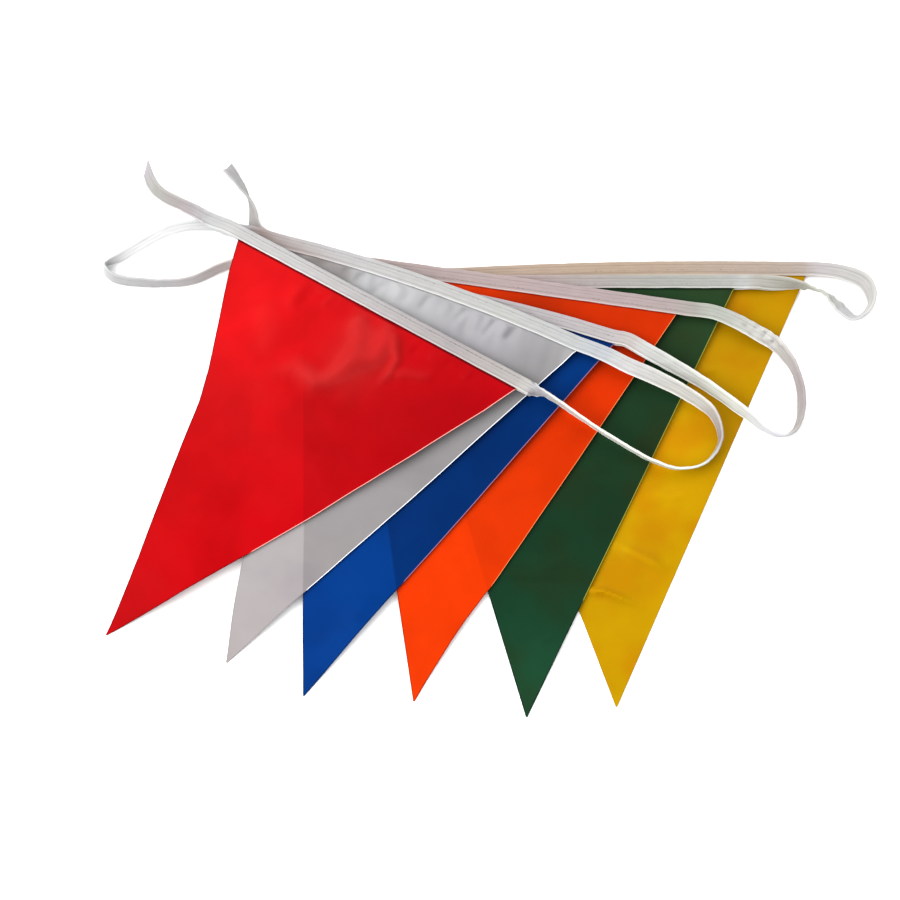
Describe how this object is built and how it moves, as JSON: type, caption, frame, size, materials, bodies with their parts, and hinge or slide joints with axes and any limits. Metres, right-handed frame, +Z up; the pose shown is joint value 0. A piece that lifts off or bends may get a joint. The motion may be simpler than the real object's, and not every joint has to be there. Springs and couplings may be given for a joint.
{
  "type": "pennant bunting",
  "caption": "Plastic film pennants in several colours, sewn into a long folded tape that is folded back and forth and laid down as a fan, with slack loops and two free ends.",
  "frame": {"origin": "on the surface it lies on, under the middle of the whole fan", "axes": "+X to the right along the headings, -Y towards the pennants' tips, +Z up from the surface"},
  "size_m": [0.4818, 0.3532, 0.024],
  "materials": {
    "tape": "slightly shiny, off-white woven tape",
    "film_red": "soft sheen, slightly see-through film",
    "film_white": "soft sheen, slightly see-through film",
    "film_blue": "soft sheen, slightly see-through film",
    "film_orange": "soft sheen, slightly see-through film",
    "film_green": "soft sheen, slightly see-through film",
    "film_yellow": "soft sheen, slightly see-through film"
  },
  "bodies": {
    "root": {"header_tape": "tape", "pennant_red": "film_red", "pennant_white": "film_white", "pennant_blue": "film_blue", "pennant_orange": "film_orange", "pennant_green": "film_green", "pennant_yellow": "film_yellow"}
  },
  "joints": []
}
